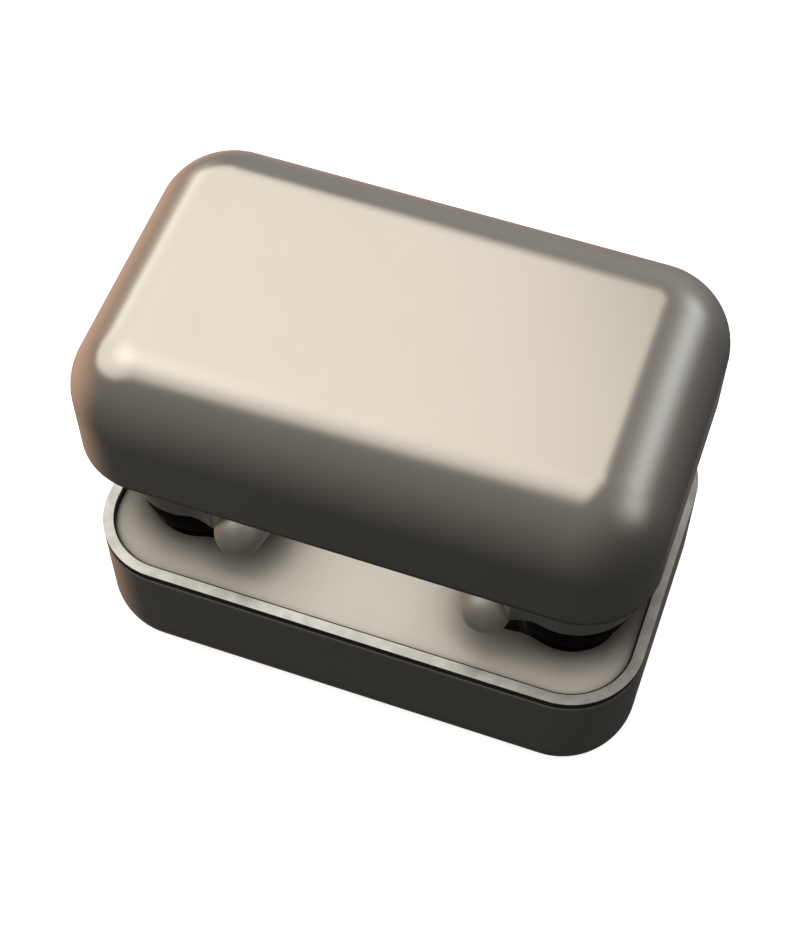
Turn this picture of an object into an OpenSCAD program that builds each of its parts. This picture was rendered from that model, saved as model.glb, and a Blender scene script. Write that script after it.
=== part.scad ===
/* [Case] */
// Width of the case, left to right
case_w = 77; // [73:0.5:90]
// Depth of the case, front to back
case_d = 47.4; // [46:0.2:60]
// Radius of the four upright corners, seen from above
corner_r = 10.4; // [10:0.1:12]
// Height of the base, up to the top of its rim
base_h = 23.3; // [22.5:0.1:30]
// Height of the lid, from its rim to its top
lid_h = 18.4; // [18.2:0.1:24]
// Rounding between the sides and the top or underside
edge_round = 9.2; // [7:0.1:9.6]
// Thickness of the metal shells
shell_wall = 1.2; // [1:0.1:1.4]

/* [Lid] */
// How far the lid is held above the base
lid_raise = 21.9; // [19:0.1:40]
// Thickness of the moulded lining inside the lid
liner_wall = 0.7; // [0.5:0.1:0.9]
// Distance that the lining's edge stands back from the lid's rim
liner_inset = 0.5; // [0.2:0.1:1]

/* [Rim] */
// Height of the bright ring round the mouth of the base
ring_h = 0.5; // [0.4:0.1:0.9]
// Width of the bright ring, seen from above
ring_w = 1.45; // [1.3:0.05:1.6]
// Height of the black gasket under the ring
gasket_h = 0.8; // [0.6:0.1:1.4]
// Distance that the gasket stands back from the outer wall
gasket_recess = 0.2; // [0.1:0.05:0.4]
// Thickness of the gasket's lip between the ring and the tray
lip_t = 0.25; // [0.2:0.05:0.4]
// Distance of the lip's top below the ring's top
lip_drop = 0.2; // [0.1:0.05:0.4]

/* [Tray] */
// Step from the top of the ring down to the tray
tray_drop = 1; // [0.6:0.1:1.5]
// Thickness of the tray's flat part
tray_t = 2; // [1.6:0.1:2.4]
// Radius of the pockets that hold the earbuds
pocket_r = 6.9; // [6.7:0.1:7.1]
// Width of the roll that leads the tray's surface down into a pocket
pocket_roll = 4.5; // [3.5:0.1:5]
// How far that roll drops
pocket_roll_drop = 2; // [1.6:0.1:2.4]
// Thickness of the pocket walls and floors
pocket_wall = 1.2; // [1:0.1:1.4]
// Radius of the recess under each stem
stem_recess_r = 3.4; // [3:0.1:3.6]
// Depth of the recess under each stem, below the tray's surface
stem_recess_depth = 5; // [4.5:0.1:5.5]

/* [Earbuds] */
// Distance from the middle of the case to the middle of an earbud
bud_x = 26.9; // [26.6:0.1:27.2]
// Place of the earbud's front end, its centre of rounding
bud_front_y = -7.7; // [-8:0.1:-7.4]
// Distance between the two centres of rounding of an earbud
bud_len = 9.7; // [9.2:0.1:10.2]
// Radius of the earbud's outer cover
cover_r = 9.2; // [9:0.1:9.3]
// Height of the outer cover
cover_h = 8.2; // [7.8:0.1:8.6]
// Rounding round the top of the outer cover
cover_round = 5; // [4.6:0.1:5.4]
// Radius of the gentle crown over the cover's top
cover_crown_r = 24; // [22:1:40]
// Thickness of the cover's and the body's walls
bud_wall = 1; // [0.8:0.1:1.1]
// Height of the body, from its underside to the cover
bud_body_h = 12.9; // [12.5:0.1:13.3]
// Radius of the body where it stands in the pocket
bud_foot_r = 6.3; // [6:0.1:6.4]
// Radius of the body under the cover
bud_neck_r = 8.6; // [8.3:0.1:8.8]
// Height of the straight foot of the body
bud_foot_h = 4.2; // [4:0.1:4.6]
// Gap between an earbud and the step that carries it
bud_seat_gap = 0.3; // [0.2:0.05:0.4]
// Radius of the stem
stem_r = 3.3; // [3.1:0.1:3.5]
// Distance from the middle of the case to the middle of a stem
stem_x = 17.3; // [17:0.1:17.6]
// Place of the rounded end of the stem, its centre
stem_tip_y = -16.4; // [-16.8:0.1:-16]
// Angle that the stem leans in towards the middle of the case, from its tip backwards
stem_lean = 14; // [8:1:16]
// Length of the stem, from the tip's centre to its root
stem_len = 10; // [9:0.1:11]
// Distance of the stem's middle below the cover's lower edge
stem_drop = 0.5; // [0:0.1:0.8]
// Height of the cover's lower edge above the rim of the base
cover_over_rim = 6.4; // [6:0.1:6.8]

/* [Ear tips] */
// Radius of the sound nozzle
nozzle_r = 2.9; // [2.7:0.1:3.1]
// Length of the sound nozzle
nozzle_len = 4.5; // [4.2:0.1:4.7]
// Widest radius of the silicone ear tip
tip_r = 5.5; // [5:0.1:5.8]
// Length of the silicone ear tip
tip_len = 6; // [5.8:0.1:6.2]
// Thickness of the ear tip's skirt
tip_skin = 0.7; // [0.6:0.1:0.9]

/* [Charging contacts] */
// Radius of a contact pin
pin_r = 0.5; // [0.4:0.05:0.6]
// Radius of a contact pin's collar
collar_r = 0.87; // [0.8:0.01:0.95]
// Travel of a contact pin
pin_travel = 0.6; // [0.4:0.05:0.8]
// Half of the distance between the two pins of a pair
pin_half_pitch = 2; // [1.8:0.1:2.3]
// Distance of the pins behind the rear centre of an earbud
pin_back = 1.4; // [1.2:0.1:1.6]
// Running clearance round a contact pin
pin_clear = 0.08; // [0.06:0.01:0.1]

/* [Inside the base] */
// Width of the battery
battery_w = 30; // [26:0.5:31]
// Depth of the battery
battery_d = 28; // [24:0.5:29]
// Height of the battery
battery_h = 5.2; // [4.6:0.1:5.4]
// Thickness of the adhesive pad under the battery
tape_t = 0.5; // [0.3:0.1:0.6]
// Width of the frame that carries the circuit board
chassis_w = 34; // [33:0.5:35]
// Depth of the frame that carries the circuit board
chassis_d = 40; // [39:0.5:41]
// Thickness of the frame
chassis_t = 1.2; // [1:0.1:1.4]
// Thickness of the circuit board
board_t = 1; // [0.8:0.1:1.2]
// Radius of the screw posts
post_r = 2.2; // [2:0.1:2.4]
// Radius of the screw threads
screw_r = 0.8; // [0.7:0.05:0.9]

/* [Back of the case] */
// Width of the charging socket
socket_w = 8.94; // [8.9:0.01:9]
// Height of the charging socket
socket_h = 3.2; // [3.1:0.05:3.3]
// Depth of the charging socket
socket_d = 7.3; // [7:0.1:7.6]
// Sheet thickness of the charging socket
socket_t = 0.3; // [0.25:0.05:0.35]
// Width of the bezel round the charging socket
bezel_w = 0.7; // [0.5:0.05:0.9]
// Distance from the socket to the pairing button
button_x = 11; // [10.5:0.1:11.5]
// Radius of the pairing button
button_r = 2.4; // [2.2:0.1:2.6]
// Travel of the pairing button
button_travel = 0.35; // [0.25:0.05:0.4]
// Clearance round the pairing button
button_clear = 0.15; // [0.1:0.05:0.2]
// Distance from the socket to the status light
light_x = 9.5; // [9:0.1:10]
// Radius of the status light
light_r = 0.7; // [0.6:0.05:0.8]

/* [Magnets] */
// Length of the magnets that hold the lid
lid_magnet_w = 12; // [10:0.5:13]
// Depth of the magnets that hold the lid
lid_magnet_d = 2.2; // [2:0.1:2.4]
// Height of the magnets that hold the lid
lid_magnet_h = 2; // [1.8:0.1:2.2]
// Radius of the magnets that hold the earbuds
bud_magnet_r = 1.3; // [1.1:0.1:1.4]
// Height of the magnets that hold the earbuds
bud_magnet_h = 1.6; // [1.4:0.1:1.7]

/* [Hidden] */

$fn = 64;
LEFT = -1;
RIGHT = 1;
eps = 0.01;
over = 1;

// Finishes, as plain colours
sand = [0.73, 0.69, 0.62];
bright_sand = [0.82, 0.79, 0.73];
black = [0.06, 0.06, 0.06];
silicone = [0.2, 0.19, 0.18];
steel = [0.7, 0.7, 0.72];
gold = [0.85, 0.66, 0.3];
green = [0.08, 0.3, 0.2];
silver = [0.75, 0.76, 0.78];
plastic = [0.25, 0.25, 0.26];

// Levels of the base, from its underside
ring_z = base_h - ring_h;
gasket_z = ring_z - gasket_h;
tray_top = base_h - tray_drop;
tray_under = tray_top - tray_t;
tray_gap = 0.05;
tray_inset = ring_w + lip_t + tray_gap;
lip_top = base_h - lip_drop;

// Levels of an earbud in its pocket, worked up from the contact step
cover_z = base_h + cover_over_rim;
bud_foot_z = cover_z - bud_body_h;
step_z = bud_foot_z - bud_seat_gap;
bud_back_y = bud_front_y + bud_len;
nozzle_end_z = bud_foot_z - nozzle_len;
tip_lap = 0.5;
tip_end_z = bud_foot_z - tip_lap - tip_len;
tip_floor_gap = 0.8;
tip_shoulder_h = 2.2;
tip_hollow_h = 2;
tip_hollow_shoulder_h = 3;
well_floor_z = tip_end_z - tip_floor_gap;
roll_edge_r = 1.2;
stem_z = cover_z - stem_drop;
stem_recess_back = 4.2;
stem_recess_out = 0.4;
stem_recess_y = stem_tip_y + stem_recess_back;
stem_recess_x = stem_x + stem_recess_out;
stem_recess_roll = 3;
stem_recess_roll_drop = 1.6;
bridge_r = 2.8;
bridge_out = 5.7;
bridge_back = 2;
bridge_x = stem_x + bridge_out;
bridge_y = stem_tip_y + bridge_back;
bridge_h = 4.4;
bridge_flat = 0.2;
bridge_crown_r = 3.4;
neck_clear = 0.3;
crown_fn = 180;

// What the earbuds hold
cell_z = bud_foot_z + bud_wall + bud_magnet_h;
cell_r = 4.6;
cell_h = 4.8;
driver_r = 4.7;
driver_h = 2;
driver_back_r = 3.6;
driver_back_h = 1.2;
bud_board_h = 0.8;
bud_board_drop = 0.2;
bud_board_margin = 0.4;
bud_magnet_y = bud_back_y + bud_foot_r - bud_wall - bud_magnet_r;
mesh_t = 0.3;
mesh_ledge = 0.1;
seam = 0.1;
neck_band = 1;
well_skirt = 0.8;

// The contact pins and the block that guides them
pin_y = bud_back_y + pin_back;
pin_gap = 0.3;
pad_recess = 0.1;
pad_r = 0.9;
pin_top = bud_foot_z + pad_recess - pin_gap;
step_t = pocket_wall;
holder_top = step_z - step_t;
collar_h = 0.6;
collar_drop = 1;
collar_z = holder_top - collar_drop - collar_h;
spring_len = 1.6;
holder_floor = 0.8;
holder_z = collar_z - spring_len - holder_floor;
holder_w = 7;
holder_d = 3.4;
pocket_magnet_gap = 0.5;
spring_wall = 0.25;
spring_r = collar_r - 0.05;

// The screw posts, the battery and the board
post_x = chassis_w / 2 - post_r - 0.3;
post_y = chassis_d / 2 - post_r - 0.3;
battery_z = shell_wall + tape_t;
chassis_z = battery_z + battery_h + 1.8;
standoff_h = 0.8;
standoff_r = 1.2;
board_margin = 0.8;
notch_margin = 0.4;
frame_hole_clear = 0.2;
slot_w = 0.3;
slot_h = 0.35;
tape_margin = 1;
battery_corner = 1.5;
board_z = chassis_z + chassis_t + standoff_h;
board_w = chassis_w - 2 * board_margin;
board_back_y = chassis_d / 2 - board_margin;
screw_head_r = 1.5;
screw_head_h = 0.8;
screw_len = 5;
post_bore_clear = 0.05;

// The parts on the board: width, depth, height and place
charger_w = 7;
charger_h = 1;
charger_x = -6;
charger_y = -2;
radio_w = 5;
radio_h = 0.9;
radio_x = 7;
coil_w = 4;
coil_d = 3;
coil_h = 0.8;
coil_x = 6;
coil_y = -9;
fuse_w = 3;
fuse_d = 2;
fuse_h = 1.2;
fuse_x = -8;
fuse_y = -11;
lamp_w = 1.6;
lamp_d = 0.8;
lamp_h = 0.7;
lamp_back = 1;
pipe_gap = 0.3;
tongue_w = 6.2;
tongue_t = 0.7;
tongue_d = 5;
socket_back_t = 1.2;

// The back wall's openings
back_y = case_d / 2;
port_z = board_z + board_t + socket_h / 2;
socket_setback = 0.8;
socket_clear = 0.15;
bezel_setback = 0.1;
button_setback = 0.15;
button_flange = 0.8;
button_flange_t = 0.7;
button_stem_r = 1;
inner_back = back_y - shell_wall;
switch_w = 4;
switch_d = 3;
switch_h = 2.4;
switch_gap = 0.1;
flange_gap = 0.1;
switch_front = inner_back - flange_gap - button_flange_t - button_travel - switch_gap;

// The ribs that carry the tray
rib_w = 3;
rib_deep = 1.4;
rib_low = edge_round + 1;
rib_tray_gap = 0;
rib_x = chassis_w / 2;
rib_y = 8;

// The lid
lid_z = base_h + lid_raise;
liner_clear = 0.1;
liner_out = shell_wall + liner_clear;
liner_in = liner_out + liner_wall;
magnet_wall = 0.6;
lid_magnet_y = case_d / 2 - liner_in - lid_magnet_d / 2;
lid_magnet_up = 1.2;
base_magnet_y = lid_magnet_y - 0.4;

// Profile of one wall, out from the core, with its lower outer edge rounded
module wall_profile(depth, height, round) {
    difference() {
        square([depth, height]);
        translate([depth - round, 0])
            difference() {
                translate([0, -over]) square([round + over, round + over]);
                translate([0, round]) circle(r = round);
            }
    }
}

// A profile carried round a rectangle with rounded corners, filled in the middle
module round_corner_sweep(w, d, corner, h) {
    core_w = w - 2 * corner;
    core_d = d - 2 * corner;
    translate([-core_w / 2, -core_d / 2, 0]) cube([core_w, core_d, h]);
    for (side = [0, 1])
        mirror([side, 0, 0])
            translate([core_w / 2, core_d / 2, 0])
                rotate([90, 0, 0]) linear_extrude(core_d) children();
    for (side = [0, 1])
        mirror([0, side, 0])
            translate([-core_w / 2, core_d / 2, 0])
                rotate([90, 0, 90]) linear_extrude(core_w) children();
    for (side = [0, 1], end = [0, 1])
        mirror([side, 0, 0]) mirror([0, end, 0])
            translate([core_w / 2, core_d / 2, 0]) rotate_extrude(angle = 90) children();
}

// A block with upright round corners, and a rounding round its underside
module soft_block(w, d, corner, h, round) {
    round_corner_sweep(w, d, corner, h) wall_profile(corner, h, round);
}

// A plate with upright round corners and square edges
module round_plate(w, d, corner, h) {
    round_corner_sweep(w, d, corner, h) square([corner, h]);
}

// The case's outline, drawn in by a given amount
module case_plate(inset, h) {
    round_plate(case_w - 2 * inset, case_d - 2 * inset, corner_r - inset, h);
}

// The case's outer form, drawn in by a given amount
module case_form(inset, h) {
    soft_block(case_w - 2 * inset, case_d - 2 * inset, corner_r - inset, h, edge_round - inset);
}

// A band that follows the case's outline between two insets
module case_band(outer_inset, inner_inset, h) {
    difference() {
        case_plate(outer_inset, h);
        translate([0, 0, -over]) case_plate(inner_inset, h + 2 * over);
    }
}

// A half profile turned round both ends of a straight run along Y
module long_turn(run) {
    mirror([0, 1, 0]) rotate_extrude(angle = 180) children();
    translate([0, run, 0]) rotate_extrude(angle = 180) children();
    translate([0, run, 0])
        rotate([90, 0, 0])
            linear_extrude(run) {
                children();
                mirror([1, 0]) children();
            }
}

// Two upright cylinders side by side, joined by a block, as a long hole or bar
module slot_form(w, h, length) {
    translate([-(w - h) / 2, -h / 2, 0]) cube([w - h, h, length]);
    for (side = [0, 1])
        mirror([side, 0, 0])
            translate([(w - h) / 2, 0, 0])
                rotate([0, 0, -90]) rotate_extrude(angle = 180) square([h / 2, length]);
}

// The four corners of a rectangle
module at_corners(x, y) {
    for (sx = [-1, 1], sy = [-1, 1])
        translate([sx * x, sy * y, 0]) children();
}

// One earbud's own place, on the given side
module on_side(side) {
    mirror([side == LEFT ? 1 : 0, 0, 0]) children();
}

// Lying along Y, from a point towards the back
module lying(x, y, z) {
    translate([x, y, z]) rotate([-90, 0, 0]) children();
}

// The base

module base_shell() {
    color(sand)
        difference() {
            union() {
                difference() {
                    case_form(0, gasket_z);
                    translate([0, 0, shell_wall]) case_form(shell_wall, base_h);
                }
                intersection() {
                    at_corners(post_x, post_y) cylinder(r = post_r, h = chassis_z);
                    translate([0, 0, shell_wall / 2]) case_form(shell_wall / 2, base_h);
                }
                for (sx = [-1, 1], sy = [-1, 1])
                    translate([sx * rib_x - rib_w / 2, sy > 0 ? inner_back - rib_deep : -inner_back - eps, rib_low])
                        cube([rib_w, rib_deep + eps, tray_under - rib_tray_gap - rib_low]);
                for (sx = [-1, 1], sy = [-1, 1])
                    translate([sx > 0 ? case_w / 2 - shell_wall - rib_deep : -case_w / 2 + shell_wall - eps,
                        sy * rib_y - rib_w / 2, rib_low])
                        cube([rib_deep + eps, rib_w, tray_under - rib_tray_gap - rib_low]);
            }
            at_corners(post_x, post_y)
                translate([0, 0, chassis_z - screw_len])
                    cylinder(r = screw_r + post_bore_clear, h = screw_len + over);
            lying(0, inner_back - over, port_z)
                slot_form(socket_w + 2 * socket_clear + 2 * bezel_w, socket_h + 2 * socket_clear + 2 * bezel_w,
                    shell_wall + 2 * over);
            lying(-button_x, inner_back - over, port_z)
                cylinder(r = button_r + button_clear, h = shell_wall + 2 * over);
            lying(light_x, inner_back - over, port_z)
                cylinder(r = light_r, h = shell_wall + 2 * over);
        }
}

module rim_gasket() {
    color(black)
        translate([0, 0, gasket_z]) {
            case_band(gasket_recess, ring_w + lip_t, gasket_h);
            case_band(ring_w, ring_w + lip_t, lip_top - gasket_z);
        }
}

module rim_ring() {
    color(bright_sand)
        translate([0, 0, ring_z]) case_band(0, ring_w, ring_h);
}

// Half profile of a pocket: its mouth rolls in from the flat, first gently and then tightly
module pocket_profile(r, roll, drop, depth) {
    crown_r = (pow(roll - roll_edge_r, 2) + pow(drop, 2) - pow(roll_edge_r, 2)) / (2 * (drop - roll_edge_r));
    difference() {
        square([r + roll - eps, depth + over]);
        translate([r + roll, 0]) mirror([1, 0]) crowned_profile(roll, depth, roll_edge_r, crown_r);
    }
}

module pocket_cut() {
    translate([bud_x, bud_front_y, well_floor_z])
        cylinder(r = pocket_r, h = tray_top - well_floor_z);
    translate([bud_x, bud_front_y, step_z])
        long_turn(bud_len) pocket_profile(pocket_r, pocket_roll, pocket_roll_drop, tray_top - step_z);
    translate([stem_recess_x, stem_recess_y, tray_top - stem_recess_depth])
        rotate_extrude()
            pocket_profile(stem_recess_r, stem_recess_roll, stem_recess_roll_drop, stem_recess_depth);
}

module pocket_wall_form() {
    outer = pocket_r + pocket_wall;
    skirt = outer + well_skirt;
    translate([bud_x, bud_front_y, well_floor_z - pocket_wall])
        cylinder(r = outer, h = tray_top - well_floor_z);
    translate([bud_x, bud_front_y, step_z - step_t])
        long_turn(bud_len) square([skirt, tray_under - step_z + step_t + eps]);
    translate([stem_recess_x, stem_recess_y, tray_top - stem_recess_depth - pocket_wall])
        cylinder(r = stem_recess_r + pocket_wall, h = stem_recess_depth);
}

module tray() {
    color(sand)
        difference() {
            union() {
                translate([0, 0, tray_under]) case_plate(tray_inset, tray_t);
                for (side = [LEFT, RIGHT]) on_side(side) pocket_wall_form();
            }
            for (side = [LEFT, RIGHT])
                on_side(side) {
                    pocket_cut();
                    for (pair = [-1, 1])
                        translate([bud_x + pair * pin_half_pitch, pin_y, step_z - step_t - over])
                            cylinder(r = pin_r + pin_clear, h = step_t + 2 * over);
                }
        }
}

module chassis() {
    color(plastic)
        difference() {
            union() {
                translate([-chassis_w / 2, -chassis_d / 2, chassis_z]) cube([chassis_w, chassis_d, chassis_t]);
                at_corners(post_x - 2 * post_r, post_y)
                    translate([0, 0, chassis_z + chassis_t - eps]) cylinder(r = standoff_r, h = standoff_h + eps);
            }
            at_corners(post_x, post_y)
                translate([0, 0, chassis_z - over]) cylinder(r = screw_r + frame_hole_clear, h = chassis_t + 2 * over);
            translate([-battery_w / 4, -battery_d / 4, chassis_z - over])
                cube([battery_w / 2, battery_d / 2, chassis_t + 2 * over]);
        }
}

module frame_screws() {
    color(steel)
        at_corners(post_x, post_y)
            translate([0, 0, chassis_z + chassis_t])
                difference() {
                    union() {
                        cylinder(r = screw_head_r, h = screw_head_h);
                        translate([0, 0, -screw_len]) cylinder(r = screw_r, h = screw_len + eps);
                    }
                    translate([-screw_head_r, -slot_w / 2, screw_head_h - slot_h])
                        cube([2 * screw_head_r, slot_w, slot_h + over]);
                    translate([-slot_w / 2, -screw_head_r, screw_head_h - slot_h])
                        cube([slot_w, 2 * screw_head_r, slot_h + over]);
                }
}

module battery() {
    color(silver)
        translate([0, 0, battery_z]) round_plate(battery_w, battery_d, battery_corner, battery_h);
}

module battery_pad() {
    color(plastic)
        translate([-battery_w / 2 + tape_margin, -battery_d / 2 + tape_margin, shell_wall])
            cube([battery_w - 2 * tape_margin, battery_d - 2 * tape_margin, tape_t]);
}

// A chip of the given size on the board
module chip(x, y, w, d, h) {
    translate([x - w / 2, y - d / 2, board_z + board_t - eps]) cube([w, d, h + eps]);
}

module main_board() {
    notch = 2 * (screw_head_r + notch_margin);
    color(green)
        difference() {
            union() {
                translate([-board_w / 2, -board_back_y, board_z]) cube([board_w, 2 * board_back_y, board_t]);
                chip(charger_x, charger_y, charger_w, charger_w, charger_h);
                chip(radio_x, 0, radio_w, radio_w, radio_h);
                chip(coil_x, coil_y, coil_w, coil_d, coil_h);
                chip(fuse_x, fuse_y, fuse_w, fuse_d, fuse_h);
                chip(light_x, board_back_y - lamp_back, lamp_w, lamp_d, lamp_h);
            }
            at_corners(post_x, post_y)
                translate([-notch / 2, -notch / 2, board_z - over]) cube([notch, notch, board_t + 3 * over]);
        }
}

module charging_socket() {
    depth_y = back_y - socket_setback - socket_d;
    color(steel)
        union() {
            difference() {
                lying(0, depth_y, port_z) slot_form(socket_w, socket_h, socket_d);
                lying(0, depth_y + socket_back_t, port_z)
                    slot_form(socket_w - 2 * socket_t, socket_h - 2 * socket_t, socket_d);
            }
            translate([-tongue_w / 2, depth_y + socket_t, port_z - tongue_t / 2]) cube([tongue_w, tongue_d, tongue_t]);
        }
}

module socket_bezel() {
    outer_w = socket_w + 2 * socket_clear + 2 * bezel_w;
    outer_h = socket_h + 2 * socket_clear + 2 * bezel_w;
    color(black)
        difference() {
            lying(0, inner_back, port_z) slot_form(outer_w, outer_h, shell_wall - bezel_setback);
            lying(0, inner_back - over, port_z)
                slot_form(outer_w - 2 * bezel_w, outer_h - 2 * bezel_w, shell_wall + 2 * over);
        }
}

module status_light() {
    color([0.9, 0.9, 0.88])
        lying(light_x, board_back_y + pipe_gap, port_z)
            cylinder(r = light_r, h = back_y - bezel_setback - board_back_y - pipe_gap);
}

module button_switch() {
    color(black)
        translate([-button_x - switch_w / 2, switch_front - switch_d, board_z + board_t])
            cube([switch_w, switch_d, switch_h]);
}

module pairing_button() {
    color(sand) {
        lying(-button_x, inner_back - flange_gap - eps, port_z)
            cylinder(r = button_r, h = shell_wall + flange_gap - button_setback + eps);
        lying(-button_x, inner_back - flange_gap - button_flange_t, port_z)
            cylinder(r = button_r + button_flange, h = button_flange_t);
    }
}

// The charging contacts of one side

module at_pins(side) {
    for (pair = [-1, 1])
        translate([side * bud_x + pair * pin_half_pitch, pin_y, 0]) children();
}

module pin_holder(side) {
    color(black)
        difference() {
            translate([side * bud_x - holder_w / 2, pin_y - holder_d / 2, holder_z])
                cube([holder_w, holder_d, holder_top - holder_z]);
            at_pins(side) {
                translate([0, 0, holder_z + holder_floor])
                    cylinder(r = collar_r + pin_clear, h = spring_len + collar_h);
                translate([0, 0, holder_z + holder_floor])
                    cylinder(r = pin_r + pin_clear, h = holder_top - holder_z);
            }
        }
}

module pins(side) {
    color(gold)
        at_pins(side) {
            translate([0, 0, collar_z]) cylinder(r = collar_r, h = collar_h - eps * 2);
            translate([0, 0, collar_z]) cylinder(r = pin_r, h = pin_top - collar_z);
        }
}

module pin_springs(side) {
    color(steel)
        at_pins(side)
            translate([0, 0, holder_z + holder_floor])
                difference() {
                    cylinder(r = spring_r, h = spring_len);
                    translate([0, 0, -over]) cylinder(r = spring_r - spring_wall, h = spring_len + 2 * over);
                }
}

// Magnets

module base_magnets() {
    color(silver)
        for (sy = [-1, 1])
            translate([-lid_magnet_w / 2, sy * base_magnet_y - lid_magnet_d / 2, tray_under - lid_magnet_h])
                cube([lid_magnet_w, lid_magnet_d, lid_magnet_h]);
}

module pocket_magnets() {
    color(silver)
        for (side = [LEFT, RIGHT])
            translate([side * bud_x, pin_y + holder_d / 2 + bud_magnet_r + pocket_magnet_gap, step_z - step_t - bud_magnet_h])
                cylinder(r = bud_magnet_r, h = bud_magnet_h);
}

// The lid

// The lid stands on its rim, open side down
module in_lid() {
    translate([0, 0, lid_z + lid_h]) mirror([0, 0, 1]) children();
}

module lid_shell() {
    color(sand)
        in_lid()
            difference() {
                case_form(0, lid_h);
                translate([0, 0, shell_wall]) case_form(shell_wall, lid_h);
            }
}

// A box at both lid magnets, larger than them by a given amount
module magnet_boxes(grow) {
    for (sy = [-1, 1])
        translate([-lid_magnet_w / 2 - grow, sy * lid_magnet_y - lid_magnet_d / 2 - grow,
            lid_h - lid_magnet_up - lid_magnet_h - grow])
            cube([lid_magnet_w + 2 * grow, lid_magnet_d + 2 * grow, lid_magnet_h + 2 * grow]);
}

module lid_liner() {
    color(black)
        in_lid()
            difference() {
                union() {
                    difference() {
                        translate([0, 0, liner_out]) case_form(liner_out, lid_h - liner_out - liner_inset);
                        translate([0, 0, liner_in]) case_form(liner_in, lid_h);
                    }
                    intersection() {
                        magnet_boxes(magnet_wall);
                        translate([0, 0, liner_out]) case_form(liner_out, lid_h - liner_out - liner_inset);
                    }
                }
                magnet_boxes(0.05);
            }
}

module lid_magnets() {
    color(silver) in_lid() magnet_boxes(0);
}

// The earbuds

// Half profile with a straight side, a rounded shoulder and a gentle crown that meets it smoothly
module crowned_profile(r, h, round, crown_r) {
    shoulder_x = r - round;
    shoulder_y = h - crown_r + sqrt(pow(crown_r - round, 2) - pow(shoulder_x, 2));
    meet = atan2(shoulder_y - h + crown_r, shoulder_x);
    difference() {
        intersection() {
            square([r, h]);
            translate([0, h - crown_r]) circle(r = crown_r, $fn = crown_fn);
        }
        translate([shoulder_x, shoulder_y])
            difference() {
                polygon([[0, 0], [2 * round, 0], [2 * round, 2 * round], 2 * round * [cos(meet), sin(meet)]]);
                circle(r = round);
            }
    }
}

module cover_form(inset) {
    translate([bud_x, bud_front_y, cover_z])
        long_turn(bud_len)
            crowned_profile(cover_r - inset, cover_h - inset, cover_round - inset, cover_crown_r - inset);
}

// Puts a form that runs along y at the stem's tip, leaning in as the stem does
module stem_place() {
    translate([stem_x, stem_tip_y, stem_z]) rotate([0, 0, stem_lean]) children();
}

module bud_cover(side) {
    color(sand)
        on_side(side)
            difference() {
                union() {
                    cover_form(0);
                    translate([bridge_x, bridge_y, cover_z])
                        rotate_extrude()
                            crowned_profile(bridge_r, bridge_h, bridge_r - bridge_flat, bridge_crown_r);
                    stem_place() {
                        rotate([-90, 0, 0]) cylinder(r = stem_r, h = stem_len);
                        for (end = [0, stem_len]) translate([0, end, 0]) sphere(r = stem_r);
                    }
                }
                translate([0, 0, -eps]) cover_form(bud_wall);
                translate([bud_x, bud_front_y, stem_z - stem_r - over])
                    long_turn(bud_len) square([bud_neck_r + neck_clear, stem_drop + stem_r + over]);
                stem_place() rotate([-90, 0, 0]) cylinder(r = stem_r - bud_wall, h = stem_len - bud_wall);
            }
}

// Half profile of the body, foot down: a straight foot, a full belly and a straight neck
module body_profile(inset) {
    low = inset > 0 ? bud_wall : 0;
    top = inset > 0 ? bud_body_h + over : bud_body_h - seam;
    neck_y = bud_body_h - neck_band;
    rise = neck_y - bud_foot_h;
    swell = bud_neck_r - bud_foot_r;
    belly_r = (pow(rise, 2) + pow(swell, 2)) / (2 * swell);
    translate([0, low]) square([bud_foot_r - inset, top - low]);
    translate([0, neck_y]) square([bud_neck_r - inset, top - neck_y]);
    intersection() {
        translate([0, bud_foot_h]) square([bud_neck_r - inset, rise]);
        translate([bud_neck_r - belly_r, neck_y]) circle(r = belly_r - inset, $fn = crown_fn);
    }
}

module bud_body(side) {
    color(black)
        on_side(side)
            difference() {
                translate([bud_x, bud_front_y, bud_foot_z]) long_turn(bud_len) body_profile(0);
                translate([bud_x, bud_front_y, bud_foot_z]) long_turn(bud_len) body_profile(bud_wall);
                translate([bud_x, bud_front_y, bud_foot_z - over])
                    cylinder(r = nozzle_r - bud_wall, h = bud_wall + 2 * over);
                for (pair = [-1, 1])
                    translate([bud_x + pair * pin_half_pitch, pin_y, bud_foot_z - over])
                        cylinder(r = pad_r, h = bud_wall + 2 * over);
            }
}

module nozzle(side) {
    color(black)
        translate([side * bud_x, bud_front_y, nozzle_end_z])
            difference() {
                cylinder(r = nozzle_r, h = nozzle_len);
                translate([0, 0, -over]) cylinder(r = nozzle_r - bud_wall, h = nozzle_len + 2 * over);
                translate([0, 0, -over]) cylinder(r = nozzle_r - bud_wall / 2, h = over + mesh_t + mesh_ledge);
            }
}

module ear_tip(side) {
    bore = nozzle_r;
    crown_r = tip_r - 1.6;
    color(silicone)
        translate([side * bud_x, bud_front_y, tip_end_z])
            rotate_extrude()
                difference() {
                    polygon([
                        [bore - 0.7, 0],
                        [crown_r - 0.6, 0],
                        [crown_r, 0.4],
                        [tip_r - 0.6, tip_shoulder_h],
                        [tip_r, tip_len - 1],
                        [tip_r, tip_len],
                        [bore, tip_len],
                        [bore, nozzle_end_z - tip_end_z],
                        [bore - 0.7, nozzle_end_z - tip_end_z]
                    ]);
                    polygon([
                        [bore + tip_skin, tip_hollow_h],
                        [crown_r, tip_hollow_h],
                        [tip_r - 0.6 - tip_skin, tip_hollow_shoulder_h],
                        [tip_r - tip_skin, tip_len - 0.8],
                        [tip_r - tip_skin, tip_len + over],
                        [bore + tip_skin, tip_len + over]
                    ]);
                }
}

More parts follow.
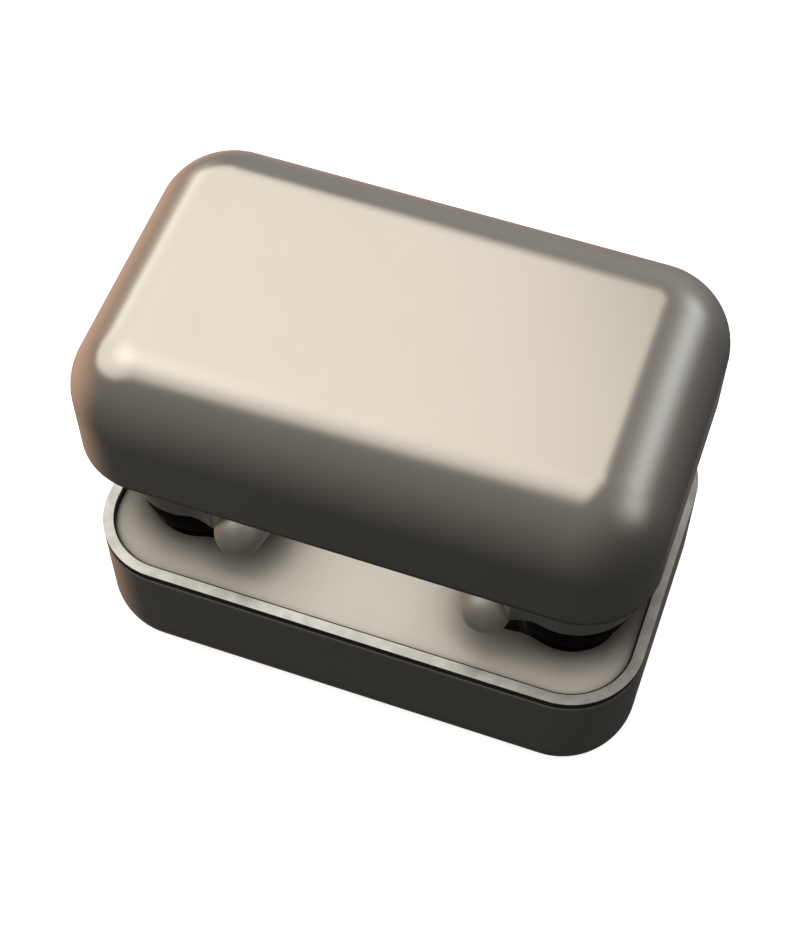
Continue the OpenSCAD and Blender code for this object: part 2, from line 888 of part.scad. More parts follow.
module nozzle_mesh(side) {
    color(steel)
        translate([side * bud_x, bud_front_y, nozzle_end_z])
            cylinder(r = nozzle_r - bud_wall / 2, h = mesh_t);
}

module driver(side) {
    color(plastic)
        translate([side * bud_x, bud_front_y, bud_foot_z + bud_wall]) {
            cylinder(r = driver_r, h = driver_h);
            translate([0, 0, driver_h - eps]) cylinder(r = driver_back_r, h = driver_back_h);
        }
}

module bud_cell(side) {
    color(silver)
        translate([side * bud_x, bud_back_y, cell_z]) cylinder(r = cell_r, h = cell_h);
}

module bud_board(side) {
    board_r = bud_neck_r - bud_wall - bud_board_margin;
    color(green)
        on_side(side)
            translate([bud_x, bud_front_y, cover_z - bud_board_h - bud_board_drop])
                long_turn(bud_len) square([board_r, bud_board_h]);
}

module bud_pads(side) {
    color(gold)
        at_pins(side)
            translate([0, 0, bud_foot_z + pad_recess]) cylinder(r = pad_r, h = bud_wall - pad_recess);
}

module bud_magnet(side) {
    color(silver)
        translate([side * bud_x, bud_magnet_y, bud_foot_z + bud_wall])
            cylinder(r = bud_magnet_r, h = bud_magnet_h);
}

base_shell();
rim_gasket();
rim_ring();
tray();
chassis();
frame_screws();
battery();
battery_pad();
main_board();
charging_socket();
socket_bezel();
status_light();
button_switch();
pairing_button();
pin_holder(LEFT);  // left_pin_holder
pin_holder(RIGHT);  // right_pin_holder
pin_springs(LEFT);  // left_pin_springs
pin_springs(RIGHT);  // right_pin_springs
pins(LEFT);  // left_pins
pins(RIGHT);  // right_pins
base_magnets();
pocket_magnets();
lid_shell();
lid_liner();
lid_magnets();
bud_cover(LEFT);  // left_bud_cover
bud_body(LEFT);  // left_bud_body
nozzle(LEFT);  // left_nozzle
ear_tip(LEFT);  // left_ear_tip
nozzle_mesh(LEFT);  // left_nozzle_mesh
driver(LEFT);  // left_driver
bud_cell(LEFT);  // left_bud_cell
bud_board(LEFT);  // left_bud_board
bud_pads(LEFT);  // left_bud_pads
bud_magnet(LEFT);  // left_bud_magnet
bud_cover(RIGHT);  // right_bud_cover
bud_body(RIGHT);  // right_bud_body
nozzle(RIGHT);  // right_nozzle
ear_tip(RIGHT);  // right_ear_tip
nozzle_mesh(RIGHT);  // right_nozzle_mesh
driver(RIGHT);  // right_driver
bud_cell(RIGHT);  // right_bud_cell
bud_board(RIGHT);  // right_bud_board
bud_pads(RIGHT);  // right_bud_pads
bud_magnet(RIGHT);  // right_bud_magnet
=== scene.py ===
# %% [markdown]
# The case arrives from the CAD as named, separate solids, all at their true places in metres.
# This lesson dresses them: each surface gets a finish, a few pieces are built again in finer form,
# and the scene gets a camera, a floor and light. The box of the bare CAD model is kept first,
# because the dressed case has to fit in it at the end.

import math

import bmesh
import bpy
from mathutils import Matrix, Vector, geometry


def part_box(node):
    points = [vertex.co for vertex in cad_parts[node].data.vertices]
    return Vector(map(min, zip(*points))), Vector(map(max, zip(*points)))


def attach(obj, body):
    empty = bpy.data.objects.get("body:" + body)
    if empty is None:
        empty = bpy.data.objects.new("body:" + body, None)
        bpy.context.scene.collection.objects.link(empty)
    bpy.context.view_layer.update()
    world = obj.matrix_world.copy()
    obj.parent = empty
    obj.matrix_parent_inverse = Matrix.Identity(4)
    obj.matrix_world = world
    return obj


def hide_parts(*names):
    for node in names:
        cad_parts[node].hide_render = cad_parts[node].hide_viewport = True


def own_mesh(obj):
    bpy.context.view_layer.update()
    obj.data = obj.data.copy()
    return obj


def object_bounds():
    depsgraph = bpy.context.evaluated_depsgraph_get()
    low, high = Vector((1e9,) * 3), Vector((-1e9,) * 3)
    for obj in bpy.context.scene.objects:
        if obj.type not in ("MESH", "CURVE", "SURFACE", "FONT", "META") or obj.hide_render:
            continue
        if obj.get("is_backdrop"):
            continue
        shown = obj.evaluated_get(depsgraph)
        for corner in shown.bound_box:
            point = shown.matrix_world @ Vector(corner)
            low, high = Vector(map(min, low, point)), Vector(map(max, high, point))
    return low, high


MM = 0.001
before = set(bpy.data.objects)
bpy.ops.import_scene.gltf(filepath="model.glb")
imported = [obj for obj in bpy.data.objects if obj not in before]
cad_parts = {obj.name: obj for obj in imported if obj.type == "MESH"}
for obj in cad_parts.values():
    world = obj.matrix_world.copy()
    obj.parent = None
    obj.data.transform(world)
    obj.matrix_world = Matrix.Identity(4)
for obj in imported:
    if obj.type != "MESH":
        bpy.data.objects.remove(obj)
cad_box = [list(corner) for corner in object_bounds()]


def node_box(name):
    """The lowest and the highest corner of a CAD solid at rest, in mm."""
    return [[round(v / MM, 3) for v in corner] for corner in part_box(name)]


print("the CAD box, mm:", [[round(v / MM, 1) for v in corner] for corner in cad_box])

# %% [markdown]
# The camera stands where the photographer's stood: in front of the case, a little to its right,
# and high up. The long lens keeps the parallel edges of the case nearly parallel. The place and
# the lens were worked out from the outline of the case, so that the two outlines agree to about a
# pixel. The view transform is left plain, because it would change every colour that is set below.

# %% Camera
CAMERA_PLACE, CAMERA_TARGET = (0.04793, -0.13659, 0.25595), (-0.000504, 0.000406, 0.027129)
LENS = 74.63


def look(place, target):
    """Turns an object at one point so that it faces another."""
    return (Vector(target) - Vector(place)).to_track_quat("-Z", "Y").to_euler()


camera = bpy.data.objects.new("camera", bpy.data.cameras.new("camera"))
bpy.context.scene.collection.objects.link(camera)
camera.location = CAMERA_PLACE
camera.rotation_euler = look(camera.location, CAMERA_TARGET)
camera.data.sensor_width = 36
camera.data.lens = LENS
camera.data.clip_start = 10 * MM
bpy.context.scene.camera = camera
bpy.context.scene.view_settings.view_transform = "Standard"
print("camera to case, mm:", round(camera.location.length / MM))

# %% [markdown]
# Shaders are small sums, and a sum is easier to read as a line of Python than as ten boxes and
# their wires. This class stands for one socket. Adding two of them, or one and a number, makes
# the Math node that does the adding, and its socket is the answer. Colours go through a Mix node
# and directions through Vector Math, because a Math node would turn a colour grey.

# %% Sums made of nodes
class Wire:
    """One output socket of a shader. It can be used in sums as a number can."""

    def __init__(self, tree, socket=None):
        self.tree, self.socket = tree, socket

    def node(self, kind, settings=None, inputs=None, out=0):
        """Adds a node: its settings first, then values or wires for its inputs."""
        made = self.tree.nodes.new(kind)
        for name, value in (settings or {}).items():
            setattr(made, name, value)
        for name, value in (inputs or {}).items():
            if isinstance(value, Wire):
                self.tree.links.new(value.socket, made.inputs[name])
            else:
                made.inputs[name].default_value = value
        return Wire(self.tree, made.outputs[out])

    def maths(self, operation, *values):
        return self.node("ShaderNodeMath", {"operation": operation}, dict(enumerate(values)))

    def __add__(self, other):
        return self.maths("ADD", self, other)

    def __sub__(self, other):
        return self.maths("SUBTRACT", self, other)

    def __rsub__(self, other):
        return self.maths("SUBTRACT", other, self)

    def __mul__(self, other):
        return self.maths("MULTIPLY", self, other)

    __radd__, __rmul__ = __add__, __mul__

    def size(self):
        return self.maths("ABSOLUTE", self)

    def exponent(self):
        return self.maths("EXPONENT", self)

    def step(self, low, high):
        """0 below low, 1 above high, and a soft step between them."""
        return self.node(
            "ShaderNodeMapRange",
            {"interpolation_type": "SMOOTHSTEP"},
            {"Value": self, "From Min": low, "From Max": high},
        )

    def near(self, middle, inner, outer):
        """1 within an inner distance of a middle, 0 beyond an outer one."""
        return 1 - (self - middle).size().step(inner, outer)

    def mix(self, a, b):
        """Colour a where this wire is 0, colour b where it is 1."""
        return self.node("ShaderNodeMix", {"data_type": "RGBA"}, {0: self, 6: a, 7: b}, out=2)

    def dot(self, direction):
        """How far this vector points along a direction."""
        return self.node(
            "ShaderNodeVectorMath", {"operation": "DOT_PRODUCT"}, {0: self, 1: direction}, out="Value"
        )

    def scaled(self, by):
        """This vector, stretched by one number for each axis."""
        return self.node("ShaderNodeVectorMath", {"operation": "MULTIPLY"}, {0: self, 1: by})

    def noise(self, grain, detail):
        """Soft random patches about grain metres across, from 0 to 1, at this place."""
        return self.node("ShaderNodeTexNoise", {}, {"Vector": self, "Scale": 1 / grain, "Detail": detail})


def rgb(*colour):
    """A colour that hides what is behind it."""
    return (*colour, 1.0)


BLACK = rgb(0, 0, 0)
print("a colour for a socket:", BLACK)

# %% [markdown]
# The case stands in a studio: a large soft light behind it on the left, a narrow cool one on the
# right, and a warm glow low on the left. Metal shows nothing but what it mirrors, so these make
# its whole look. Lamps could do it, but a sky painted in code gives each light a soft edge at an
# exact place, and no lamp's outline shows up in the metal. The brush has two strokes: a round glow
# round a direction, and a soft edge across one. Three soft edges multiplied fence in the softbox.

# %% Directions and glows
def towards(azimuth, elevation):
    """A direction: azimuth 0 is in front of the case and 90 on its right, both in degrees."""
    a, e = math.radians(azimuth), math.radians(elevation)
    return Vector((math.sin(a) * math.cos(e), -math.cos(a) * math.cos(e), math.sin(e)))


world = bpy.data.worlds.new("studio")
bpy.context.scene.world = world
world.use_nodes = True
sky = Wire(world.node_tree)
way = sky.node("ShaderNodeTexCoord", out="Generated")


def glow(azimuth, elevation, tightness):
    """A round glow, 1 in its middle: the tighter, the smaller."""
    return ((way.dot(towards(azimuth, elevation)) - 1) * tightness).exponent()


def add_light(colour, strength, light):
    """Adds a light of one colour, as strong as a wire says, to a colour."""
    tint = strength.mix(BLACK, rgb(*light))
    return sky.node(
        "ShaderNodeMix", {"data_type": "RGBA", "blend_type": "ADD"}, {0: 1.0, 6: colour, 7: tint}, out=2
    )


print("a glow is", round(math.exp((towards(0, 0).dot(towards(15, 0)) - 1) * 28), 2), "15 degrees off")

# %% [markdown]
# The room itself is grey, darker below than above, and darkest where it is seen in the front and
# the right side of the case. The softbox has a brighter middle, which is the hot spot on the lid's
# near corner. The two cool lights on the right make the stripe down the lid's right edge.

# %% Light that the metal mirrors
height = way.dot((0, 0, 1))
room = (height * 0.14 + 0.19) * (1 - glow(60, 0, 1) * 0.6) * (1 - glow(176, -57, 6) * 0.48)
softbox = (
    way.dot(towards(-85, 0)).step(-0.17, -0.01)
    * way.dot(towards(-143, 0)).step(-0.7, 0.6)
    * way.dot(towards(-113, 52)).step(0.74, 0.86)
)
low_left = (
    way.dot(towards(-130, 0)).step(0.11, 1.3)
    * way.dot(towards(-39, -61)).step(-0.4, 0.9)
    * height.step(-1.5, -0.6)
)
lights = [
    (softbox, (0.95, 0.945, 0.925)),
    (softbox * glow(-106, 60, 28), (0.57, 0.57, 0.56)),
    (glow(-131, 15, 48), (0.53, 0.53, 0.43)),
    (glow(177, 5, 4), (0.2, 0.21, 0.23)),
    (glow(143, 30, 28), (0.51, 0.58, 0.66)),
    (glow(107, 37, 16), (0.45, 0.475, 0.52)),
    (low_left, (1.16, 0.72, 0.53)),
]
colour = room.mix(BLACK, rgb(1, 1.025, 1.05))
for strength, light in lights:
    colour = add_light(colour, strength, light)
world.node_tree.links.new(colour.socket, world.node_tree.nodes["Background"].inputs["Color"])
print("lights in the sky:", len(lights))

# %% [markdown]
# The tray and the floor don't mirror, they scatter, and need lamps of their own. A wide one hangs
# overhead, so each earbud darkens the tray round it softly. A near one, above and a little in
# front, makes the middle of the tray lighter than its ends. The lamps are hidden from mirror rays,
# so they add nothing to the metal, and so are the solids: in the photograph the metal mirrors the
# studio alone. The lid would keep nearly all this light from the tray, so it casts no shadow, as
# when a photographer lights lid and base in two shots and lays one over the other.

# %% Lamps
CASE_MIDDLE = Vector((0, 0, 0.02))
WARM_WHITE = (1, 0.99, 0.97)


def lamp(name, azimuth, elevation, distance, width, power, tint):
    """A square soft lamp that faces the case and isn't mirrored by it."""
    data = bpy.data.lights.new(name, "AREA")
    data.size, data.energy, data.color = width, power, tint
    made = bpy.data.objects.new(name, data)
    bpy.context.scene.collection.objects.link(made)
    made.location = towards(azimuth, elevation) * distance + CASE_MIDDLE
    made.rotation_euler = look(made.location, CASE_MIDDLE)
    made.visible_glossy = False
    print(name, "is", round(distance / MM), "mm away")


lamp("overhead_lamp", -40, 85, distance=0.5, width=1.2, power=1.1, tint=WARM_WHITE)
lamp("near_lamp", -15, 76, distance=0.2, width=0.18, power=0.16, tint=WARM_WHITE)
for name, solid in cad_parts.items():
    solid.visible_glossy = False
    if name.startswith("lid_"):
        solid.visible_shadow = False
        solid.visible_diffuse = False

# %% [markdown]
# The case stands on white paper. A flat sheet would end in a dark horizon when it is seen from low
# down, so the paper turns up far away, all round, as a studio's roll of paper does behind a
# product. The flat part lies a hair under the case: two faces in one plane would flicker.

# %% Paper floor
PAPER_SIDES, FLOOR_R, BEND_R = 96, 3.0, 1.0


def ring_of_paper(reach, height):
    """Points round a ring, of a reach and at a height, both in metres."""
    turns = [math.tau * i / PAPER_SIDES for i in range(PAPER_SIDES)]
    return [(reach * math.cos(t), reach * math.sin(t), height) for t in turns]


def paper(name, rings, filled):
    """A round sheet through rings, each a reach and a height, with or without a filled middle."""
    corners = [corner for ring in rings for corner in ring_of_paper(*ring)]
    faces = [tuple(range(PAPER_SIDES))] if filled else []
    for k in range(len(rings) - 1):
        low, high = k * PAPER_SIDES, (k + 1) * PAPER_SIDES
        for i in range(PAPER_SIDES):
            j = (i + 1) % PAPER_SIDES
            faces.append((low + i, low + j, high + j, high + i))
    mesh = bpy.data.meshes.new(name)
    mesh.from_pydata(corners, [], faces)
    made = bpy.data.objects.new(name, mesh)
    bpy.context.scene.collection.objects.link(made)
    made.visible_glossy = False
    made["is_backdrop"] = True
    print(name, "has", len(faces), "faces")
    return made


floor = paper("floor", [(FLOOR_R, -0.05 * MM)], filled=True)
bend = [(FLOOR_R + BEND_R * math.sin(0.2 * i), BEND_R - BEND_R * math.cos(0.2 * i)) for i in range(8)]
sweep = paper("sweep", [(FLOOR_R - 0.1, -0.1 * MM), *bend, (FLOOR_R + BEND_R, 2.5)], filled=False)
sweep.visible_diffuse = False
sweep.visible_shadow = False

# %% [markdown]
# Each finish starts the same way: a new material, and a wire that tells where on the case a point
# is, in metres. Since the CAD is at true size, a grain of 0.1 mm is simply written as 0.1 mm.
# A bump is written as a height too, so its depth is a real depth. A value that is the same all over
# is set on the shader's own socket, and only what changes over the surface comes by a wire.

# %% Helpers for finishes
finishes = {}


def new_finish(name):
    """A new material, and the wire of places on the surface."""
    made = bpy.data.materials.new(name)
    made.use_nodes = True
    finishes[name] = made
    return made, Wire(made.node_tree).node("ShaderNodeTexCoord", out="Object")


def set_surface(made, **sockets):
    """Sets the shader's sockets, by name with _ for a space: values stay plain, wires are linked."""
    shader = made.node_tree.nodes["Principled BSDF"]
    for name, value in sockets.items():
        socket = shader.inputs[name.replace("_", " ")]
        if isinstance(value, Wire):
            made.node_tree.links.new(value.socket, socket)
        else:
            socket.default_value = value


def bump(height, distance, under=None):
    """A normal that follows a height from 0 to 1, a distance in metres, on top of another normal."""
    inputs = {"Height": height, "Distance": distance}
    if under is not None:
        inputs["Normal"] = under
    return height.node("ShaderNodeBump", {}, inputs, out="Normal")


def axis(place, name):
    """One axis of a place, as a number in metres."""
    return place.node("ShaderNodeSeparateXYZ", {}, {0: place}, out=name)


print("solids that wait for a finish:", len(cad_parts))

# %% [markdown]
# The shells are aluminium, blasted with fine beads and dyed a sand colour. Blasting leaves a fine
# even grain, which spreads each mirrored light a little and is a bump here. It also takes the last
# sharpness off an edge: the Bevel node averages the surface's direction over 1.2 mm, so the flat
# top runs into its round without a line. Larger, hardly visible patches vary the gloss, as fingers
# do. Light specks are painted in a thin line along the lid's rim as glints, and it is glossier there.
# The rim of the base carries the gasket; the narrow seat beside it is painted black without gloss, as shade.

# %% Sand-coloured metal
# The light colour below is painted glints along the lid's rim, and the black is painted shade on the base's
# seat.
SAND, RIM_GLINT, SEAT_SHADE = (0.62, 0.56, 0.47), (0.78, 0.74, 0.67), (0.01, 0.01, 0.01)
LID_LOW, BASE_TOP = node_box("lid_shell")[0][2], node_box("base_shell")[1][2]

made, place = new_finish("sand_metal")
patches = place.noise(9 * MM, 3)
grain = place.noise(0.16 * MM, 3)
specks = place.noise(0.5 * MM, 2).step(0.42, 0.62)
height = axis(place, "Z")
# Two painted marks: glints in a thin line along the lid's rim, and shade on the seat beside the gasket.
rim_glints = height.near(LID_LOW * MM, 0.05 * MM, 0.22 * MM) * specks
seat = height.near(BASE_TOP * MM, 0.02 * MM, 0.04 * MM)
blasted = place.node("ShaderNodeBevel", {"samples": 8}, {"Radius": 1.2 * MM}, out="Normal")
dyed = (patches * 0.5 + grain * 0.5).step(0.2, 0.8).mix(
    rgb(*[c * 0.97 for c in SAND]), rgb(*[c * 1.03 for c in SAND])
)
set_surface(
    made,
    Base_Color=seat.mix(rim_glints.mix(dyed, rgb(*RIM_GLINT)), rgb(*SEAT_SHADE)),
    Metallic=1 - seat,
    Roughness=0.12 + patches * 0.04 + grain * 0.03 - rim_glints * 0.05 + seat * 0.6,
    Normal=bump(grain, 0.002 * MM, blasted),
)
print("the lid's rim is", LID_LOW, "mm up, the base's", BASE_TOP)

# %% [markdown]
# The earbuds are sprayed to match the case: plastic under a metal paint. The paint is satin, so
# it scatters light as well as mirroring it, most of all on the stems, which fingers have rubbed
# dull. Round each stem low down, at the seam where its two moulded halves meet, a thin lighter line
# is painted as a highlight, and the half below it is painted darker, as shade. One material does
# all this: masks find the stem and the seam by their places.

# %% Metal paint of the earbuds
SEAM_Z = 28.3
# The seam's light colour is a painted highlight.
PAINT_DARK, PAINT_LIGHT, SEAM_HIGHLIGHT = (0.39, 0.36, 0.308), (0.425, 0.395, 0.338), (0.55, 0.52, 0.46)

made, place = new_finish("bud_metal")
flakes = place.noise(0.12 * MM, 2)
clouds = place.noise(5 * MM, 2)
height = axis(place, "Z")
stem = axis(place, "X").near(0, 20.2 * MM, 21 * MM)
# Painted highlight: a thin lighter line along the seam. Painted shade: the stem below it is darker.
seam = stem * height.near(SEAM_Z * MM, 0.04 * MM, 0.14 * MM)
under = stem * (1 - height.step((SEAM_Z - 0.15) * MM, SEAM_Z * MM))
paint = (clouds * 0.4 + flakes * 0.6).step(0.25, 0.75).mix(rgb(*PAINT_DARK), rgb(*PAINT_LIGHT))
set_surface(
    made,
    Base_Color=seam.mix((stem * 0.1 + under * 0.3).mix(paint, BLACK), rgb(*SEAM_HIGHLIGHT)),
    Metallic=0.97 - stem * 0.12 - seam * 0.3,
    Roughness=0.3 + stem * 0.16 + flakes * 0.06,
    Normal=bump(flakes, 0.002 * MM),
)
print("the stems' seam is", SEAM_Z, "mm up")

# %% [markdown]
# The ring round the mouth of the base is turned bright on top and left nearly bare. Light and
# dark bars lie across it where the cutter's marks catch the light. Its colour is painted darker
# towards the right, as shade, and its side is painted dark, as shade.

# %% Bright ring
RING_TOP = node_box("rim_ring")[1][2]
# The side's dark colour is painted shade.
RING_SIDE_SHADE, CUT_DARK, CUT_LIGHT = (0.05, 0.045, 0.04), (0.54, 0.505, 0.44), (0.7, 0.665, 0.6)

made, place = new_finish("bright_metal")
bars = place.scaled((1, 1, 0)).noise(2.4 * MM, 1)
grain = place.noise(0.12 * MM, 2)
top = axis(place, "Z").step((RING_TOP - 0.06) * MM, (RING_TOP - 0.01) * MM)
# Painted shade: the colour darkens towards the right.
shade_to_right = axis(place, "X").step(5 * MM, 40 * MM)
turned = bars.step(0.3, 0.7).mix(rgb(*CUT_DARK), rgb(*CUT_LIGHT))
set_surface(
    made,
    Base_Color=top.mix(rgb(*RING_SIDE_SHADE), (shade_to_right * 0.42 + 0.06).mix(turned, BLACK)),
    Metallic=0.9 - top * 0.15,
    Roughness=0.26 + bars * 0.1,
    Normal=bump(grain, 0.002 * MM),
)
print("the ring's top is", RING_TOP, "mm up")

# %% [markdown]
# The tray is moulded in plastic to match the shells and has a soft satin skin: hardly any gloss,
# a fine leather-like grain, and very slightly uneven colour. A mask of height and slope paints shade:
# below just under the rolled edges and on steep faces the colour goes black. In the photograph the
# tray darkens softly where it dips and round each stem. The Ambient Occlusion node measures how
# much of the sky a point sees, and darkens the colour with it. It is worked out anew in each pose,
# so the shade goes with an earbud when it is lifted out.

# %% Tray plastic
# The black colour is painted shade in the pockets, on the walls and on steep slopes.
TRAY_DARK, TRAY_LIGHT, SHADE_BLACK = (0.6, 0.545, 0.455), (0.64, 0.585, 0.495), (0.001, 0.001, 0.001)

made, place = new_finish("sand_tray")
clouds = place.noise(6 * MM, 3)
grain = place.noise(0.2 * MM, 2)
facing = axis(place.node("ShaderNodeTexCoord", out="Normal"), "Z")
# Painted shade: black below the rolled edges and on steep faces.
surface = axis(place, "Z").step(19.8 * MM, 20.2 * MM) * facing.step(0.05, 0.7)
open_sky = place.node("ShaderNodeAmbientOcclusion", {"samples": 16}, {"Distance": 13 * MM}, out="AO")
lit = surface * (open_sky.step(0.2, 1.05) * 0.72 + 0.28)
plastic = (clouds * 0.7 + grain * 0.3).step(0.2, 0.8).mix(rgb(*TRAY_DARK), rgb(*TRAY_LIGHT))
set_surface(
    made,
    Base_Color=lit.mix(rgb(*SHADE_BLACK), plastic),
    Roughness=0.5 + grain * 0.1,
    Specular_IOR_Level=0.12,
    Normal=bump(grain, 0.004 * MM),
)
print("nodes in the tray's plastic:", len(made.node_tree.nodes))

# %% [markdown]
# Dark parts would all look alike in plain black. Rubber, moulded plastic, foam and silicone
# differ in gloss and grain, so one recipe takes those as numbers.

# %% Dark rubbers and plastics
def moulded(name, low, high, roughness, grain_size, depth, specular=0.5):
    """Moulded plastic or rubber: two close colours, its gloss, and its grain's size and depth in mm."""
    made, place = new_finish(name)
    clouds = place.noise(4 * MM, 2)
    grain = place.noise(grain_size * MM, 3)
    set_surface(
        made,
        Base_Color=(clouds * 0.5 + grain * 0.5).step(0.25, 0.75).mix(rgb(*low), rgb(*high)),
        Roughness=roughness - 0.06 + grain * 0.12,
        Specular_IOR_Level=specular,
        Normal=bump(grain, depth * MM),
    )


moulded("black_rubber", (0.006, 0.005, 0.005), (0.012, 0.01, 0.01), 0.75, 0.15, 0.006, 0.2)
moulded("black_plastic", (0.001, 0.001, 0.001), (0.003, 0.003, 0.003), 0.6, 0.2, 0.003, 0.04)
moulded("grey_plastic", (0.05, 0.05, 0.052), (0.075, 0.075, 0.078), 0.5, 0.25, 0.004)
moulded("liner_plastic", (0.06, 0.056, 0.05), (0.08, 0.075, 0.068), 0.6, 0.3, 0.006)
moulded("foam", (0.03, 0.03, 0.03), (0.06, 0.06, 0.06), 0.95, 0.5, 0.08, 0.1)
moulded("silicone", (0.014, 0.014, 0.014), (0.024, 0.024, 0.024), 0.42, 0.4, 0.002, 0.45)
print("finishes so far:", len(finishes))

# %% [markdown]
# Inner metal parts: steel, gold plate and nickel plate mirror alike, and differ in colour and in
# how fine their marks are. The battery's foil is the same recipe with large shallow creases.

# %% Small metals and foil
def plated(name, low, high, roughness, grain_size, depth):
    """A bare or plated metal: two close colours, its gloss, and its grain's size and depth in mm."""
    made, place = new_finish(name)
    clouds = place.noise(3 * MM, 2)
    grain = place.noise(grain_size * MM, 2)
    set_surface(
        made,
        Base_Color=clouds.step(0.3, 0.7).mix(rgb(*low), rgb(*high)),
        Metallic=1.0,
        Roughness=roughness - 0.04 + grain * 0.08,
        Normal=bump(grain, depth * MM),
    )


plated("steel", (0.52, 0.52, 0.53), (0.6, 0.6, 0.61), 0.3, 0.1, 0.002)
plated("gold", (0.8, 0.56, 0.22), (0.87, 0.64, 0.3), 0.2, 0.1, 0.001)
plated("magnet", (0.62, 0.62, 0.63), (0.7, 0.7, 0.71), 0.16, 0.3, 0.002)
plated("foil", (0.62, 0.63, 0.65), (0.72, 0.73, 0.75), 0.26, 1.6, 0.06)
print("finishes so far:", len(finishes))

# %% [markdown]
# The socket is a shell of bent steel round a tongue of black nylon. In the CAD they are one solid,
# so a mask finds the tongue by its place: the middle of the height, and short of the shell's front.

# %% Charging socket
SOCKET_Z = sum(corner[2] for corner in node_box("charging_socket")) / 2
DARK_PART = (0.012, 0.012, 0.013)

made, place = new_finish("socket_metal")
grain = place.noise(0.1 * MM, 2)
marks = place.scaled((1, 0.05, 1)).noise(0.25 * MM, 2)
depth = axis(place, "Y")
tongue = (
    axis(place, "X").near(0, 3.15 * MM, 3.25 * MM)
    * axis(place, "Z").near(SOCKET_Z * MM, 0.38 * MM, 0.44 * MM)
    * depth.step(15.92 * MM, 15.98 * MM)
    * (1 - depth.step(21 * MM, 21.1 * MM))
)
bent_steel = marks.step(0.3, 0.7).mix(rgb(0.46, 0.46, 0.47), rgb(0.6, 0.6, 0.61))
set_surface(
    made,
    Base_Color=tongue.mix(bent_steel, rgb(*DARK_PART)),
    Metallic=1 - tongue,
    Roughness=0.26 + marks * 0.1 + tongue * 0.25,
    Normal=bump(grain, 0.002 * MM),
)
print("the socket's middle is", round(SOCKET_Z, 2), "mm up")

# %% [markdown]
# The boards are green, with lighter copper tracks under the lacquer. The edges of a Voronoi
# pattern, measured along the axes, make such tracks: short, straight and branching. The chips on
# the main board are moulded in black, and the mask for them starts just over the board's face.

# %% Circuit boards
BOARD_FACE = 11.75

made, place = new_finish("board")
lines = place.node(
    "ShaderNodeTexVoronoi",
    {"feature": "DISTANCE_TO_EDGE", "distance": "MANHATTAN"},
    {"Vector": place, "Scale": 1 / (1.4 * MM)},
)
track = 1 - lines.step(0.03, 0.08)
height = axis(place, "Z")
chip = height.step((BOARD_FACE - 0.03) * MM, (BOARD_FACE + 0.03) * MM) * (1 - height.step(14 * MM, 15 * MM))
lacquer = track.mix(rgb(0.004, 0.045, 0.022), rgb(0.012, 0.1, 0.05))
set_surface(
    made,
    Base_Color=chip.mix(lacquer, rgb(*DARK_PART)),
    Roughness=0.32 + chip * 0.25,
    Normal=bump(track, 0.02 * MM),
)
print("the main board's face is", BOARD_FACE, "mm up")

# %% [markdown]
# The light pipe is milky plastic. The floor is white paper that is lit from behind, as a table for
# such pictures is, and so it glows a little by itself.

# %% Light pipe and paper
made, place = new_finish("light_pipe")
clouds = place.noise(0.8 * MM, 2)
set_surface(
    made,
    Base_Color=clouds.step(0.3, 0.7).mix(rgb(0.72, 0.74, 0.72), rgb(0.85, 0.86, 0.84)),
    Roughness=0.2 + clouds * 0.1,
    Normal=bump(clouds, 0.01 * MM),
)
made, place = new_finish("floor_paper")
fibres = place.noise(3 * MM, 3)
set_surface(
    made,
    Base_Color=fibres.mix(rgb(0.9, 0.9, 0.9), rgb(0.93, 0.93, 0.93)),
    Roughness=0.9,
    Specular_IOR_Level=0.1,
    Emission_Color=rgb(1, 1, 1),
    Emission_Strength=0.78,
)
floor.data.materials.append(made)
sweep.data.materials.append(made)
print("finishes:", len(finishes))

# %% [markdown]
# Every CAD solid carries a material with the name of its finish in the record. Handing it the
# finish of that name dresses it. Three solids get a finer finish than their record names: the
# covers their paint, and the socket its steel and nylon.

# %% Dress the CAD solids
FINER = {"left_bud_cover": "bud_metal", "right_bud_cover": "bud_metal", "charging_socket": "socket_metal"}
for name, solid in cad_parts.items():
    plain = solid.data.materials[0].name.split(".")[0]
    solid.data.materials.clear()
    solid.data.materials.append(finishes[FINER.get(name, plain)])
print("dressed:", len(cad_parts))

# %% [markdown]
# The tray's surface is one soft sheet: flat between the earbuds, easing down towards each pocket,
# and rolling over its edge. The pocket and the recess under the stem share one mouth. A CAD fillet
# can't blend two hollows that meet, so here the surface is a height at each place. The distances
# to the pocket and to the recess are blended into one, and that says how far the surface drops.
# All lengths of this and the next steps are in mm, as in the CAD.

# %% Distances on the tray
TRAY_RIGHT, TRAY_BACK, TRAY_TOP = node_box("tray")[1]
TRAY_CORNER = 8.65
POCKET_X, POCKET_FRONT, POCKET_BACK, POCKET_R = 26.9, -7.7, 2.0, 6.9
RECESS_X, RECESS_Y, RECESS_R = 19.4, -10.8, 2.7
STEM_X, STEM_FRONT, STEM_BACK = 17.3, -15.0, -9.0
BLEND = 4.0


def between(value, low, high):
    """The value, or the nearer limit when it is outside them."""
    return min(max(value, low), high)


def mouth_gap(x, y):
    """Distance outwards from the mouth that a pocket and the recess beside it share."""
    pocket = math.hypot(abs(x) - POCKET_X, y - between(y, POCKET_FRONT, POCKET_BACK)) - POCKET_R
    recess = math.hypot(abs(x) - RECESS_X, y - RECESS_Y) - RECESS_R
    near = max(1 - abs(pocket - recess) / BLEND, 0)
    return min(pocket, recess) - BLEND / 4 * near * near


def stem_gap(x, y):
    """Distance from the stem's middle line."""
    return math.hypot(abs(x) - STEM_X, y - between(y, STEM_FRONT, STEM_BACK))


